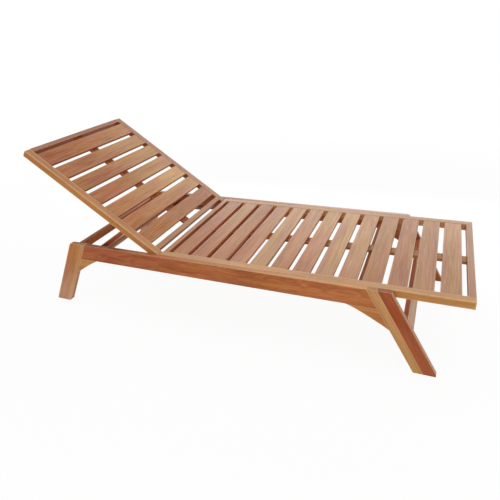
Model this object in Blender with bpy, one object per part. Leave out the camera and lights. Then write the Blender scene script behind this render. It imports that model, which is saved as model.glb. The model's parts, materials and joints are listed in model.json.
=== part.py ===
# Teak sun lounger. A slatted seat panel lies between two board side frames on splayed legs.
# A slatted backrest panel tilts on two pins, held up by a folding prop whose round crossbar
# drops into notched racks on the side rails.
# Metres, +Z up, +X towards the sitter's feet, +Y towards the sitter's left.
import math

import bmesh
import bpy
from mathutils import Matrix

# Clearances
FIT = 0.0003
EASE = 0.0015
SIDE_PLAY = 0.002
END_PLAY = 0.0032
ARM_PLAY = 0.0015
SLAT_DROP = 0.001
FOLD_PLAY = 0.0055
RACK_PLAY = 0.0008

# Seat and backrest panels
SEAT_TOP = 0.327
FOOT_END_X = 0.919
SEAT_LEN = 1.2035
BACK_LEN = 0.7227
BACK_ANGLE = math.radians(34.83)
INNER_W = 0.596
STILE_W = 0.032
STILE_H = 0.030
SLAT_W = 0.068
BACK_SLAT_W = 0.0705
TOP_SLAT_W = 0.0765
SLAT_T = 0.015
SEAT_SLATS = 13
BACK_SLATS = 7
LOW_GAP_RATIO = 0.99
TOP_GAP_RATIO = 0.82
LOW_SLAT_RISE = 0.002
FOOT_RAIL_W = 0.024
HINGE_RAIL_W = 0.022
TOP_RAIL_W = 0.021
BOTTOM_RAIL_W = 0.023
BOTTOM_RAIL_GAP = 0.0137
BATTEN_W = 0.046
TOP_CORNER_R = 0.006
TENON_LEN = 0.012
TENON_WIDE_RATIO = 0.7
TENON_THIN_RATIO = 0.5

# Side frames
BOARD_T = 0.021
RAIL_H = 0.075
FRONT_OVERHANG_LEN = 0.351
FRONT_LEG_W = 0.0845
FRONT_LEAN = 0.5765
FRONT_TIP_CUT = 0.010
FRONT_TOP_R = 0.008
REAR_LEG_BACK_LEN = 0.4433
REAR_LEG_W = 0.083
REAR_LEAN = 0.529
REAR_TOP_R = 0.017
REAR_FOOT_R = 0.020
REAR_HEEL_R = 0.004
FRONT_GUSSET_RUN = 0.107
FRONT_GUSSET_DROP = 0.081
REAR_GUSSET_RUN = 0.086
REAR_GUSSET_DROP = 0.076
FRONT_GUSSET_SAG = 0.003
REAR_GUSSET_SAG = 0.002
BASE_TENON_LEN = 0.008

# Cross pieces of the base
STRETCHER_W = 0.050
STRETCHER_T = 0.020
STRETCHER_DROP = 0.109
BACK_RAIL_T = 0.019
BACK_RAIL_H = 0.036
BACK_RAIL_INSET = 0.018
BACK_RAIL_DROP = 0.004
BEARER_T = 0.020
BEARER_H = 0.035
BEARER_INSET = 0.032
HINGE_BOARDS = 3
HINGE_BOARD_W = 0.095
HINGE_BOARD_T = 0.015
HINGE_BOARD_GAP = 0.0025
HINGE_BOARD_INSET = 0.0035

# Prop, racks and pins
PROP_HINGE_LEN = 0.183
ARM_W = 0.018
ARM_H = 0.016
ARM_BELLY = 0.004
ARM_TAPER = 0.045
ARM_TAIL = 0.019
BAR_R = 0.012
PROP_BAR_EXTRA = 0.011
RACK_W = 0.020
RACK_END = 0.020
NOTCH_DEPTH = 0.005
NOTCH_STEPS = (math.radians(20.0), BACK_ANGLE, math.radians(50.0), math.radians(64.83))
PIN_R = 0.004
PIN_REACH = 0.014
PIN_HEAD_R = 0.007
PIN_HEAD_T = 0.003
WASHER_R = 0.010

# Derived places
HALF_W = INNER_W / 2
STILE_OUT = HALF_W + STILE_W
RAIL_IN = STILE_OUT + SIDE_PLAY
RAIL_OUT = RAIL_IN + BOARD_T
SEAT_UNDER = SEAT_TOP - STILE_H
RAIL_UNDER = SEAT_TOP - RAIL_H
HINGE_END_X = FOOT_END_X - SEAT_LEN
PIVOT_X = HINGE_END_X - END_PLAY - STILE_H / 2
PIVOT_Z = SEAT_TOP - STILE_H / 2
FRONT_LEG_X = FOOT_END_X - FRONT_OVERHANG_LEN
REAR_LEG_X = PIVOT_X - REAR_LEG_BACK_LEN
BATTEN_T = STILE_H - SLAT_DROP - SLAT_T - FIT
SLAT_MID = STILE_H / 2 - SLAT_DROP - SLAT_T / 2
BATTEN_MID = -STILE_H / 2 + BATTEN_T / 2
ARM_MID = STILE_H / 2 - SLAT_DROP - SLAT_T - SLAT_DROP - ARM_H / 2
PROP_BAR_LEN = PROP_HINGE_LEN + PROP_BAR_EXTRA
BAR_DROP = ARM_MID + STILE_H / 2 + FOLD_PLAY + BAR_R
SIDES = (("right", -1.0), ("left", 1.0))
POCKETS = {}

for old in list(bpy.data.objects):
    bpy.data.objects.remove(old, do_unlink=True)


def paint(name, colour, roughness, metallic=0.0):
    """A Principled material; the colour is given as sRGB."""
    mat = bpy.data.materials.new(name)
    mat.use_nodes = True
    node = mat.node_tree.nodes["Principled BSDF"]
    linear = [((c + 0.055) / 1.055) ** 2.4 if c > 0.04045 else c / 12.92 for c in colour]
    node.inputs["Base Color"].default_value = (*linear, 1.0)
    node.inputs["Roughness"].default_value = roughness
    node.inputs["Metallic"].default_value = metallic
    mat.diffuse_color = (*linear, 1.0)
    return mat


TEAK_SLAT = paint("teak_slats", (0.75, 0.58, 0.46), 0.6)
TEAK_STILE = paint("teak_stiles", (0.72, 0.49, 0.32), 0.6)
TEAK_RAIL = paint("teak_side_rails", (0.61, 0.37, 0.24), 0.6)
TEAK_LEG = paint("teak_legs", (0.66, 0.44, 0.28), 0.6)
TEAK_CROSS = paint("teak_cross_pieces", (0.58, 0.38, 0.26), 0.65)
TEAK_PROP = paint("teak_prop", (0.70, 0.50, 0.38), 0.6)
STEEL = paint("stainless_steel", (0.72, 0.72, 0.70), 0.35, 1.0)


def finish(name, bm, material, parent=None):
    """Turn a closed bmesh into a named object with outward faces."""
    bmesh.ops.recalc_face_normals(bm, faces=bm.faces)
    mesh = bpy.data.meshes.new(name)
    bm.to_mesh(mesh)
    bm.free()
    if material:
        mesh.materials.append(material)
    obj = bpy.data.objects.new(name, mesh)
    bpy.context.scene.collection.objects.link(obj)
    obj.parent = parent
    return obj


def guide(name, x, z, turn, parent=None):
    """An empty on a joint axis, turned about Y."""
    obj = bpy.data.objects.new(name, None)
    bpy.context.scene.collection.objects.link(obj)
    obj.location = (x, 0.0, z)
    obj.rotation_euler = (0.0, turn, 0.0)
    obj.parent = parent
    return obj


def skin(bm, rings, closed=False):
    """Join rings of points with quads; cap the ends unless the skin closes on itself."""
    loops = [[bm.verts.new(p) for p in ring] for ring in rings]
    count = len(loops[0])
    pairs = list(zip(loops, loops[1:]))
    if closed:
        pairs.append((loops[-1], loops[0]))
    for a, b in pairs:
        for i in range(count):
            j = (i + 1) % count
            bm.faces.new((a[i], a[j], b[j], b[i]))
    if not closed:
        bm.faces.new(loops[0])
        bm.faces.new(loops[-1])


def inset(outline, eased):
    """Pull the eased corners of a counter-clockwise outline inwards by the chamfer."""
    count = len(outline)
    result = []
    for i, (x, z) in enumerate(outline):
        if not eased[i]:
            result.append((x, z))
            continue
        normals = []
        for a, b in ((outline[i - 1], outline[i]), (outline[i], outline[(i + 1) % count])):
            dx, dz = b[0] - a[0], b[1] - a[1]
            size = math.hypot(dx, dz)
            normals.append((-dz / size, dx / size))
        (ax, az), (bx, bz) = normals
        share = EASE / (1.0 + ax * bx + az * bz)
        result.append((x + (ax + bx) * share, z + (az + bz) * share))
    return result


def turned_corner(before, corner, after, radius, steps=6):
    """Points of an arc that rounds one corner of an outline."""
    def unit(a, b):
        size = math.hypot(b[0] - a[0], b[1] - a[1])
        return (b[0] - a[0]) / size, (b[1] - a[1]) / size
    ux, uz = unit(corner, before)
    vx, vz = unit(corner, after)
    half = math.acos(ux * vx + uz * vz) / 2
    bx, bz = ux + vx, uz + vz
    size = math.hypot(bx, bz)
    away = radius / math.sin(half)
    cx, cz = corner[0] + bx / size * away, corner[1] + bz / size * away
    reach = radius / math.tan(half)
    start = math.atan2(corner[1] + uz * reach - cz, corner[0] + ux * reach - cx)
    end = math.atan2(corner[1] + vz * reach - cz, corner[0] + vx * reach - cx)
    sweep = (end - start + math.pi) % (2 * math.pi) - math.pi
    return [(cx + radius * math.cos(start + sweep * k / steps),
             cz + radius * math.sin(start + sweep * k / steps)) for k in range(steps + 1)]


def arc(cx, cz, radius, start, end, steps):
    """Points of an arc, angles in degrees from +X towards +Z."""
    turns = [math.radians(start + (end - start) * k / steps) for k in range(steps + 1)]
    return [(cx + radius * math.cos(t), cz + radius * math.sin(t)) for t in turns]


def cut(obj, parent=None):
    """Cut the pockets noted for a piece into it."""
    boxes = POCKETS.get(obj.name)
    if not boxes:
        return obj
    bm = bmesh.new()
    for shape, matrix, size in boxes:
        if shape == "box":
            bmesh.ops.create_cube(bm, size=1.0, matrix=matrix @ Matrix.Diagonal((*size, 1.0)))
        else:
            bmesh.ops.create_cone(bm, cap_ends=True, segments=24, radius1=size[0],
                                  radius2=size[0], depth=size[1],
                                  matrix=matrix @ Matrix.Rotation(math.pi / 2, 4, "X"))
    tool = finish(obj.name + "_pockets", bm, None, parent)
    tool.hide_render = True
    tool.display_type = "WIRE"
    modifier = obj.modifiers.new("pockets", "BOOLEAN")
    modifier.operation = "DIFFERENCE"
    modifier.solver = "EXACT"
    modifier.object = tool
    return obj


def note_pocket(piece, shape, x, y, z, turn, size):
    """Note a pocket centred at a place, turned about Y."""
    matrix = Matrix.Translation((x, y, z)) @ Matrix.Rotation(turn, 4, "Y")
    POCKETS.setdefault(piece, []).append((shape, matrix, size))


def board(name, outline, y_in, y_out, side, material, eased=None, parent=None):
    """A flat board cut to an outline in XZ, its eased edges chamfered on both faces."""
    eased = eased or [True] * len(outline)
    area = sum(a[0] * b[1] - b[0] * a[1] for a, b in zip(outline, outline[1:] + outline[:1]))
    if area < 0:
        outline = outline[::-1]
        eased = eased[::-1]
    small = inset(outline, eased)
    layers = ((y_in, small), (y_in + EASE, outline), (y_out - EASE, outline), (y_out, small))
    bm = bmesh.new()
    skin(bm, [[(x, side * y, z) for x, z in points] for y, points in layers])
    return cut(finish(name, bm, material, parent), parent)


def cross(name, x, z, turn, width, thick, half, tenon, holders, material, parent=None):
    """A cross piece along Y with a shouldered tenon on each end, and its mortises."""
    w, t = width / 2, thick / 2
    tw, tt = w * TENON_WIDE_RATIO, t * TENON_THIN_RATIO
    section = [(-w + EASE, -t), (w - EASE, -t), (w, -t + EASE), (w, t - EASE),
               (w - EASE, t), (-w + EASE, t), (-w, t - EASE), (-w, -t + EASE)]
    stub = [(-tw, -tt), (tw, -tt), (tw, -tt), (tw, tt), (tw, tt), (-tw, tt), (-tw, tt), (-tw, -tt)]
    shoulder = half - FIT
    tip = half + tenon
    layers = ((-tip, stub), (-shoulder, stub), (-shoulder, section),
              (shoulder, section), (shoulder, stub), (tip, stub))
    bm = bmesh.new()
    skin(bm, [[(px, y, pz) for px, pz in points] for y, points in layers])
    bmesh.ops.remove_doubles(bm, verts=bm.verts, dist=1e-6)
    obj = finish(name, bm, material, parent)
    obj.location = (x, 0.0, z)
    obj.rotation_euler = (0.0, turn, 0.0)
    size = (2 * (tw + FIT), 2 * (tenon + FIT), 2 * (tt + FIT))
    for holder, (word, side) in zip(holders, SIDES):
        note_pocket(holder, "box", x, side * half, z, turn, size)
    return obj


def turned(name, x, z, profile, material, parent=None, closed=False):
    """A round piece about an axis along Y, from pairs of Y and radius."""
    bm = bmesh.new()
    turns = [2 * math.pi * k / 24 for k in range(24)]
    skin(bm, [[(radius * math.cos(t), y, radius * math.sin(t)) for t in turns]
              for y, radius in profile], closed)
    obj = finish(name, bm, material, parent)
    obj.location = (x, 0.0, z)
    return obj


def batten(name, x0, x1, z, material, parent=None):
    """The middle batten under the slats, along X."""
    outline = [(x0, z - BATTEN_T / 2), (x1, z - BATTEN_T / 2), (x1, z + BATTEN_T / 2),
               (x0, z + BATTEN_T / 2)]
    return board(name, outline, -BATTEN_W / 2, BATTEN_W / 2, 1.0, material, None, parent)


# Seat panel
seat_stiles = ["seat_stile_" + word for word, side in SIDES]
SEAT_MID = SEAT_TOP - STILE_H / 2
cross("seat_foot_rail", FOOT_END_X - FOOT_RAIL_W / 2, SEAT_MID, 0.0, FOOT_RAIL_W, STILE_H,
      HALF_W, TENON_LEN, seat_stiles, TEAK_STILE)
cross("seat_hinge_rail", HINGE_END_X + HINGE_RAIL_W / 2, SEAT_MID, 0.0, HINGE_RAIL_W, STILE_H,
      HALF_W, TENON_LEN, seat_stiles, TEAK_STILE)
seat_clear = SEAT_LEN - FOOT_RAIL_W - HINGE_RAIL_W
seat_gap = (seat_clear - SEAT_SLATS * SLAT_W) / (SEAT_SLATS + 1)
for k in range(SEAT_SLATS):
    slat_x = FOOT_END_X - FOOT_RAIL_W - (k + 1) * seat_gap - (k + 0.5) * SLAT_W
    cross("seat_slat_%02d" % (k + 1), slat_x, SEAT_MID + SLAT_MID, 0.0, SLAT_W, SLAT_T,
          HALF_W, TENON_LEN, seat_stiles, TEAK_SLAT)
for word, side in SIDES:
    bar = [(HINGE_END_X, SEAT_UNDER), (FOOT_END_X, SEAT_UNDER), (FOOT_END_X, SEAT_TOP),
           (HINGE_END_X, SEAT_TOP)]
    board("seat_stile_" + word, bar, HALF_W, STILE_OUT, side, TEAK_STILE)
batten("seat_batten", HINGE_END_X + HINGE_RAIL_W + FIT, FOOT_END_X - FOOT_RAIL_W - FIT,
       SEAT_MID + BATTEN_MID, TEAK_SLAT)

# Backrest panel, drawn flat about its pivot and tilted by the guide
back = guide("backrest_axis", PIVOT_X, PIVOT_Z, BACK_ANGLE)
back_stiles = ["back_stile_" + word for word, side in SIDES]
cross("back_top_rail", -BACK_LEN + TOP_RAIL_W / 2, 0.0, 0.0, TOP_RAIL_W, STILE_H,
      HALF_W, TENON_LEN, back_stiles, TEAK_STILE, back)
cross("back_bottom_rail", -BOTTOM_RAIL_GAP - BOTTOM_RAIL_W / 2, 0.0, 0.0, BOTTOM_RAIL_W, STILE_H,
      HALF_W, TENON_LEN, back_stiles, TEAK_STILE, back)
back_clear = BACK_LEN - TOP_RAIL_W - BOTTOM_RAIL_GAP - BOTTOM_RAIL_W
back_widths = [BACK_SLAT_W] * (BACK_SLATS - 1) + [TOP_SLAT_W]
back_gap = (back_clear - sum(back_widths)) / (BACK_SLATS - 1 + LOW_GAP_RATIO + TOP_GAP_RATIO)
for k, slat_width in enumerate(back_widths):
    slat_s = BOTTOM_RAIL_GAP + BOTTOM_RAIL_W + (k + LOW_GAP_RATIO) * back_gap
    slat_s += k * BACK_SLAT_W + slat_width / 2
    slat_s += LOW_SLAT_RISE if k == 0 else 0.0
    cross("back_slat_%d" % (k + 1), -slat_s, SLAT_MID, 0.0, slat_width, SLAT_T,
          HALF_W, TENON_LEN, back_stiles, TEAK_SLAT, back)
half_h = STILE_H / 2
top_corner = turned_corner((-BACK_LEN + STILE_H, half_h), (-BACK_LEN, half_h),
                           (-BACK_LEN, -half_h), TOP_CORNER_R, 4)
back_bar = arc(0.0, 0.0, half_h, -90.0, 90.0, 12) + top_corner + [(-BACK_LEN, -half_h)]
for word, side in SIDES:
    reach = (PIN_R + FIT, 2 * (PIN_REACH + FIT))
    note_pocket("back_stile_" + word, "pin", 0.0, side * STILE_OUT, 0.0, 0.0, reach)
    note_pocket("back_stile_" + word, "pin", -PROP_HINGE_LEN, side * HALF_W, ARM_MID, 0.0, reach)
    board("back_stile_" + word, back_bar, HALF_W, STILE_OUT, side, TEAK_STILE, None, back)
batten("back_batten", -BACK_LEN + TOP_RAIL_W + FIT, -BOTTOM_RAIL_GAP - BOTTOM_RAIL_W - FIT,
       BATTEN_MID, TEAK_SLAT, back)

# Prop, drawn folded along the backrest and swung down by its guide
prop = guide("prop_axis", -PROP_HINGE_LEN, ARM_MID, -2.0 * BACK_ANGLE, back)
half_a = ARM_H / 2
saddle_r = BAR_R + FIT
belly = half_a + ARM_BELLY
saddle = math.degrees(math.asin((BAR_DROP - belly) / saddle_r))
arm = arc(0.0, 0.0, half_a, -90.0, 90.0, 8)
arm += [(-PROP_BAR_LEN - ARM_TAIL, half_a), (-PROP_BAR_LEN - ARM_TAIL, -belly)]
arm += arc(-PROP_BAR_LEN, -BAR_DROP, saddle_r, 180.0 - saddle, saddle, 8)
arm += [(-ARM_TAPER, -belly)]
saddle_on = [True] * 11 + [False] * 9 + [True]
arm_in = HALF_W - ARM_PLAY - ARM_W
for word, side in SIDES:
    note_pocket("prop_arm_" + word, "pin", 0.0, side * (arm_in + ARM_W / 2), 0.0, 0.0,
                (PIN_R + FIT, ARM_W + 4 * EASE))
    board("prop_arm_" + word, arm, arm_in, arm_in + ARM_W, side, TEAK_PROP, saddle_on, prop)
bar_half = STILE_OUT - EASE
turned("prop_crossbar", -PROP_BAR_LEN, -BAR_DROP,
       [(-bar_half, BAR_R - EASE), (-bar_half + EASE, BAR_R), (bar_half - EASE, BAR_R),
        (bar_half, BAR_R - EASE)], TEAK_PROP, prop)

# Base: cross pieces between the side frames
front_turn = math.atan(FRONT_LEAN)
front_cos = math.cos(front_turn)


def front_leg_x(z):
    """Rear edge of the front leg at a height."""
    return FRONT_LEG_X + FRONT_LEAN * (SEAT_TOP - z)


def rear_leg_x(z):
    """Rear edge of the rear leg at a height."""
    return REAR_LEG_X - REAR_LEAN * (SEAT_TOP - z)


top_z = SEAT_TOP - STRETCHER_DROP
slide = STRETCHER_W / 2
sink = STRETCHER_T / 2
cross("front_stretcher",
      front_leg_x(top_z) + FRONT_LEG_W + slide * math.sin(front_turn) - sink * front_cos,
      top_z - slide * front_cos - sink * math.sin(front_turn),
      -front_turn, STRETCHER_T, STRETCHER_W, RAIL_IN, BASE_TENON_LEN,
      ["front_leg_right", "front_leg_left"], TEAK_CROSS)
back_rail_z = SEAT_UNDER - BACK_RAIL_DROP - BACK_RAIL_H / 2
cross("rear_cross_rail", rear_leg_x(back_rail_z) + BACK_RAIL_INSET, back_rail_z, 0.0,
      BACK_RAIL_T, BACK_RAIL_H, RAIL_IN, BASE_TENON_LEN, ["rear_leg_right", "rear_leg_left"], TEAK_CROSS)
rail_names = ["side_rail_right", "side_rail_left"]
cross("front_bearer", FRONT_LEG_X - BEARER_INSET, SEAT_UNDER - FIT - BEARER_H / 2, 0.0, BEARER_T, BEARER_H,
      RAIL_IN, BASE_TENON_LEN, rail_names, TEAK_CROSS)
for k in range(HINGE_BOARDS):
    board_x = HINGE_END_X + HINGE_BOARD_INSET + HINGE_BOARD_W / 2
    board_x += k * (HINGE_BOARD_W + HINGE_BOARD_GAP)
    cross("hinge_board_%d" % (k + 1), board_x, SEAT_UNDER - FIT - HINGE_BOARD_T / 2, 0.0,
          HINGE_BOARD_W, HINGE_BOARD_T, RAIL_IN, BASE_TENON_LEN, rail_names, TEAK_CROSS)

# Base: side frames of rail, legs and corner gussets
front_slack = FIT / front_cos
rear_slack = FIT * math.sqrt(1.0 + REAR_LEAN ** 2)


def gusset(foot, corner, leg, depth):
    """A corner fillet whose free edge is slightly hollow."""
    dx, dz = leg[0] - foot[0], leg[1] - foot[1]
    size = math.hypot(dx, dz)
    nx, nz = -dz / size, dx / size
    if (corner[0] - foot[0]) * nx + (corner[1] - foot[1]) * nz < 0:
        nx, nz = -nx, -nz
    free = []
    for k in range(7):
        t = k / 6
        sag = depth * 4 * t * (1 - t) * (1.4 - 0.8 * t)
        free.append((foot[0] + dx * t + nx * sag, foot[1] + dz * t + nz * sag))
    return free + [corner], [False] + [True] * 5 + [False, False]


for word, side in SIDES:
    front_rail_x = front_leg_x(RAIL_UNDER)
    rear_rail_x = rear_leg_x(RAIL_UNDER) + REAR_LEG_W
    rail = [(rear_leg_x(SEAT_TOP) + REAR_LEG_W + rear_slack, SEAT_TOP),
            (rear_rail_x + rear_slack, RAIL_UNDER),
            (rear_rail_x + REAR_GUSSET_RUN, RAIL_UNDER),
            (rear_rail_x + REAR_GUSSET_RUN + 4 * EASE, RAIL_UNDER),
            (front_rail_x - FRONT_GUSSET_RUN - 4 * EASE, RAIL_UNDER),
            (front_rail_x - FRONT_GUSSET_RUN, RAIL_UNDER),
            (front_rail_x - front_slack, RAIL_UNDER),
            (front_leg_x(SEAT_TOP) - front_slack, SEAT_TOP),
            (front_leg_x(SEAT_TOP) - 4 * EASE, SEAT_TOP),
            (rear_leg_x(SEAT_TOP) + REAR_LEG_W + 4 * EASE, SEAT_TOP)]
    rail_on = [False, False, False, True, True, False, False, False, True, True]
    note_pocket("side_rail_" + word, "pin", PIVOT_X, side * RAIL_IN, PIVOT_Z, 0.0,
                (PIN_R + FIT, 2 * (PIN_REACH + FIT)))
    board("side_rail_" + word, rail, RAIL_IN, RAIL_OUT, side, TEAK_RAIL, rail_on)

    join_z = RAIL_UNDER - FRONT_GUSSET_DROP
    tip_x = front_leg_x(FRONT_TIP_CUT) + FRONT_LEG_W
    head = turned_corner((tip_x, FRONT_TIP_CUT), (FRONT_LEG_X + FRONT_LEG_W, SEAT_TOP),
                         (FRONT_LEG_X, SEAT_TOP), FRONT_TOP_R)
    leg = [(FRONT_LEG_X, SEAT_TOP), (front_leg_x(join_z), join_z),
           (front_leg_x(join_z - 4 * EASE), join_z - 4 * EASE), (front_leg_x(0.0), 0.0),
           (tip_x, 0.0), (tip_x, FRONT_TIP_CUT)] + head
    board("front_leg_" + word, leg, RAIL_IN, RAIL_OUT, side, TEAK_LEG,
          [False, False] + [True] * (len(leg) - 2))
    shape, on = gusset((front_rail_x - FRONT_GUSSET_RUN, RAIL_UNDER - FIT),
                       (front_leg_x(RAIL_UNDER - FIT) - front_slack, RAIL_UNDER - FIT),
                       (front_leg_x(join_z) - front_slack, join_z), FRONT_GUSSET_SAG)
    board("front_gusset_" + word, shape, RAIL_IN, RAIL_OUT, side, TEAK_LEG, on)

    join_z = RAIL_UNDER - REAR_GUSSET_DROP
    brow = REAR_LEG_X + REAR_LEG_W
    head = turned_corner((brow, SEAT_TOP), (REAR_LEG_X, SEAT_TOP), (rear_leg_x(0.0), 0.0),
                         REAR_TOP_R)
    back_point, front_point = (rear_leg_x(0.0), 0.0), (rear_leg_x(0.0) + REAR_LEG_W, 0.0)
    heel = turned_corner((REAR_LEG_X, SEAT_TOP), back_point, front_point, REAR_HEEL_R, 4)
    toe = turned_corner(back_point, front_point, (brow, SEAT_TOP), REAR_FOOT_R)
    leg = [(brow, SEAT_TOP)] + head + heel + toe
    leg += [(rear_leg_x(join_z - 4 * EASE) + REAR_LEG_W, join_z - 4 * EASE),
            (rear_leg_x(join_z) + REAR_LEG_W, join_z)]
    board("rear_leg_" + word, leg, RAIL_IN, RAIL_OUT, side, TEAK_LEG,
          [False] + [True] * (len(leg) - 2) + [False])
    shape, on = gusset((rear_rail_x + REAR_GUSSET_RUN, RAIL_UNDER - FIT),
                       (rear_leg_x(RAIL_UNDER - FIT) + REAR_LEG_W + rear_slack, RAIL_UNDER - FIT),
                       (rear_leg_x(join_z) + REAR_LEG_W + rear_slack, join_z), REAR_GUSSET_SAG)
    board("rear_gusset_" + word, shape, RAIL_IN, RAIL_OUT, side, TEAK_LEG, on)


# Notched racks the crossbar rides over
def bar_place(angle):
    """Crossbar centre when the backrest stands at an angle."""
    c, s = math.cos(angle), math.sin(angle)
    hx, hz = -PROP_HINGE_LEN * c + ARM_MID * s, PROP_HINGE_LEN * s + ARM_MID * c
    return (PIVOT_X + hx - PROP_BAR_LEN * c + BAR_DROP * s,
            PIVOT_Z + hz - PROP_BAR_LEN * s - BAR_DROP * c)


low = min(bar_place(math.radians(k))[1] for k in range(66))
rack_top = low - BAR_R - RACK_PLAY
hollow_r = BAR_R + FIT
lift = hollow_r - NOTCH_DEPTH
lip = math.degrees(math.asin(lift / hollow_r))
rack_front = bar_place(max(NOTCH_STEPS))[0] + RACK_END
rack_rear = bar_place(0.0)[0] - RACK_END
rack = [(rack_front, RAIL_UNDER), (rack_front, rack_top)]
for angle in sorted(NOTCH_STEPS, reverse=True):
    rack += arc(bar_place(angle)[0], rack_top + lift, hollow_r, -lip, -180.0 + lip, 6)
rack += [(rack_rear, rack_top), (rack_rear, RAIL_UNDER)]
rack_in = RAIL_IN - FIT - RACK_W
for word, side in SIDES:
    board("notched_rack_" + word, rack, rack_in, rack_in + RACK_W, side, TEAK_CROSS,
          [True] + [False] * (len(rack) - 2) + [True])

# Pivot pins, washers and prop pins
for word, side in SIDES:
    middle = side * (STILE_OUT + RAIL_IN) / 2
    span = SIDE_PLAY / 2 + PIN_REACH
    turned("pivot_pin_" + word, PIVOT_X, PIVOT_Z,
           [(middle - span, PIN_R - EASE / 3), (middle - span + EASE / 3, PIN_R),
            (middle + span - EASE / 3, PIN_R), (middle + span, PIN_R - EASE / 3)], STEEL)
    thin = SIDE_PLAY / 2 - FIT
    turned("pivot_washer_" + word, PIVOT_X, PIVOT_Z,
           [(middle - thin, PIN_R + FIT), (middle - thin, WASHER_R),
            (middle + thin, WASHER_R), (middle + thin, PIN_R + FIT)], STEEL, None, True)
    face = side * (arm_in - FIT)
    turned("prop_pin_" + word, -PROP_HINGE_LEN, ARM_MID,
           [(face - side * PIN_HEAD_T, PIN_HEAD_R - EASE / 3),
            (face - side * (PIN_HEAD_T - EASE / 3), PIN_HEAD_R),
            (face, PIN_HEAD_R), (face, PIN_R),
            (side * (HALF_W + PIN_REACH), PIN_R)], STEEL, back)
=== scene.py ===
# %% [markdown]
# # A teak sun lounger
# The lounger's boards, pins and joints come from its construction model, at their real size and in their
# real place. This lesson gives them their looks: teak that is sawn, sanded and oiled, board by board.
# The model could be dressed by painting each board, but real boards are cut from solid logs, so every
# board here is cut from a solid pattern of rings, streaks and pores that runs right through it.

# %% Load the construction model
import json
import math
import random

import bmesh
import bpy
from mathutils import Euler, Matrix, Vector

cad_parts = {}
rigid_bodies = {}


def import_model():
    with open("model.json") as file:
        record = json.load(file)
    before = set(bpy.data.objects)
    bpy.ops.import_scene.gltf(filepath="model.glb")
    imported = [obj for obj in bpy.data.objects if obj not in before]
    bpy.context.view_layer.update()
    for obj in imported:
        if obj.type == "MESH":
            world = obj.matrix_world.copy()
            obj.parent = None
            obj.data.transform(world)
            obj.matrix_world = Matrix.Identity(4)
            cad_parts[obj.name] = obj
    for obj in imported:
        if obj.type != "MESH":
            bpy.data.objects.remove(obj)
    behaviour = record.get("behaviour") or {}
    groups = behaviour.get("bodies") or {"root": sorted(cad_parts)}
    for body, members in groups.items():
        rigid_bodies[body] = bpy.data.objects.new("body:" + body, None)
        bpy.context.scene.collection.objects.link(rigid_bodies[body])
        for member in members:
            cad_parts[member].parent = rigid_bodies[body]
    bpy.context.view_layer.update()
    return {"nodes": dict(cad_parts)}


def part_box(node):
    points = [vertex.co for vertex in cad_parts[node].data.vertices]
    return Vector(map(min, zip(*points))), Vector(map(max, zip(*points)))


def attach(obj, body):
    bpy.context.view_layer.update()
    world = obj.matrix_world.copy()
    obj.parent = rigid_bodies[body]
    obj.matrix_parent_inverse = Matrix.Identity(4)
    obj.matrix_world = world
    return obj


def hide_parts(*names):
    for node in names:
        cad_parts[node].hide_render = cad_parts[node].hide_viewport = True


for leftover in list(bpy.data.objects):
    bpy.data.objects.remove(leftover)
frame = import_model()
boards = frame["nodes"]

# %% [markdown]
# ## The camera
# The photograph looks down on the lounger from in front of its right side, near the foot end. A camera
# could be aimed with a constraint, but three turns and one place are easier to read and to check: how far
# it is turned to the side, how far it looks down, and how far it leans. Its lens takes in about 58 degrees.

# %% Place the camera
CAMERA_PLACE = Vector((0.737, -1.7225, 1.1967))
TURNED_LEFT = math.radians(23.63)
LOOKS_DOWN = math.radians(27.48)
LEANS = math.radians(3.58)
SENSOR_MM = 36.0
LENS_MM = 32.6

camera = bpy.data.objects.new("camera", bpy.data.cameras.new("camera"))
camera.data.sensor_width = SENSOR_MM
camera.data.lens = LENS_MM
upright = Matrix.Rotation(TURNED_LEFT, 4, "Z") @ Matrix.Rotation(math.pi / 2 - LOOKS_DOWN, 4, "X")
camera.matrix_world = Matrix.Translation(CAMERA_PLACE) @ upright @ Matrix.Rotation(-LEANS, 4, "Z")
bpy.context.collection.objects.link(camera)
bpy.context.scene.camera = camera
bpy.context.scene.view_settings.view_transform = "Standard"
print("camera at", [round(x, 3) for x in CAMERA_PLACE], "with a lens of", LENS_MM, "mm")

# %% [markdown]
# ## Colours and nodes
# Colours are picked as sRGB hex values, as a paint program shows them, but shaders count in linear light.
# One function turns the first into the second. Another adds any node to a node tree: options are set by
# name, and each socket takes either a plain value or the output that feeds it. A Mix node has sockets of
# the same name for numbers and for colours, so these are told apart by their places, named here once.

# %% Helpers for every finish
FACTOR = 0
NUMBER_A, NUMBER_B, NUMBER_OUT = 2, 3, 0
COLOUR_A, COLOUR_B, COLOUR_OUT = 6, 7, 2


def linear(hex_colour):
    """An sRGB hex colour as the linear RGBA that shaders use, by the curve of the sRGB standard."""
    channels = [int(hex_colour[i:i + 2], 16) / 255 for i in (1, 3, 5)]
    return [c / 12.92 if c <= 0.04045 else ((c + 0.055) / 1.055) ** 2.4 for c in channels] + [1.0]


def add_node(tree, kind, sockets, **options):
    """Adds a node, sets its options, and sets or links its sockets."""
    node = tree.nodes.new(kind)
    for option, value in options.items():
        setattr(node, option, value)
    for socket, value in sockets.items():
        if isinstance(value, bpy.types.NodeSocket):
            tree.links.new(value, node.inputs[socket])
        else:
            node.inputs[socket].default_value = value
    return node


def new_finish(name):
    """A material whose node tree is still empty."""
    finish = bpy.data.materials.new(name)
    finish.use_nodes = True
    finish.node_tree.nodes.clear()
    return finish


WHITE = linear("#ffffff")
print("white is", WHITE)

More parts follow.
